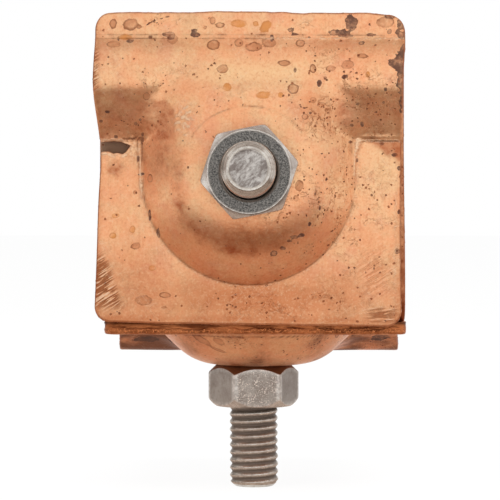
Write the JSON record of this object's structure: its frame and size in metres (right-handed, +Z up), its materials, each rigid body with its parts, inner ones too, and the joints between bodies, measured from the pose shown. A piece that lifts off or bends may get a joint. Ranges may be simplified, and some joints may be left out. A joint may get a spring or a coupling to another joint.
{
  "type": "standing seam conductor holder",
  "caption": "Folded copper angle with domed press-formed clamp plates, drawn down by nuts on square-neck bolts: one grips a roof's standing seam, the other a round conductor.",
  "frame": {"origin": "on the front bolt's axis, in the outer face of the angle's upright leg, where the seam is clamped", "axes": "+X along the seam and the conductor, -Y out along the seam bolt towards the viewer, +Z up, away from the conductor bolt's free end"},
  "size_m": [0.0478, 0.0755, 0.0755],
  "materials": {
    "bracket_copper": "rolled copper sheet, dull, lightly tarnished",
    "plate_copper": "press-formed copper sheet, satin, with brown oxide stains",
    "bolt_steel": "rolled stainless steel thread, satin",
    "nut_steel": "cold-formed stainless steel, satin, darker faces"
  },
  "bodies": {
    "bracket": {"angle_bracket": "bracket_copper", "seam_bolt": "bolt_steel", "conductor_bolt": "bolt_steel"},
    "seam_plate": {"seam_clamp_plate": "plate_copper"},
    "seam_fastener": {"seam_nut": "nut_steel"},
    "conductor_plate": {"conductor_clamp_plate": "plate_copper"},
    "conductor_fastener": {"conductor_nut": "nut_steel"}
  },
  "joints": [
    {"name": "seam_plate_slide", "type": "slide", "parent": "bracket", "child": "seam_plate", "axis": [0, -1, 0], "range_m": [0, 0.0125]},
    {"name": "seam_nut_turn", "type": "hinge", "parent": "seam_plate", "child": "seam_fastener", "pos_m": [0, 0, 0], "axis": [0, -1, 0], "range_deg": [0, 3600.01]},
    {"name": "conductor_plate_slide", "type": "slide", "parent": "bracket", "child": "conductor_plate", "axis": [0, 0, -1], "range_m": [0, 0.0125]},
    {"name": "conductor_nut_turn", "type": "hinge", "parent": "conductor_plate", "child": "conductor_fastener", "pos_m": [0, 0.023, -0.023], "axis": [0, 0, -1], "range_deg": [0, 3600.01]}
  ],
  "couplings": [
    {"joint": "seam_nut_turn", "follows": "seam_plate_slide", "rad_per_m": 5026.5},
    {"joint": "conductor_nut_turn", "follows": "conductor_plate_slide", "rad_per_m": 5026.5}
  ]
}
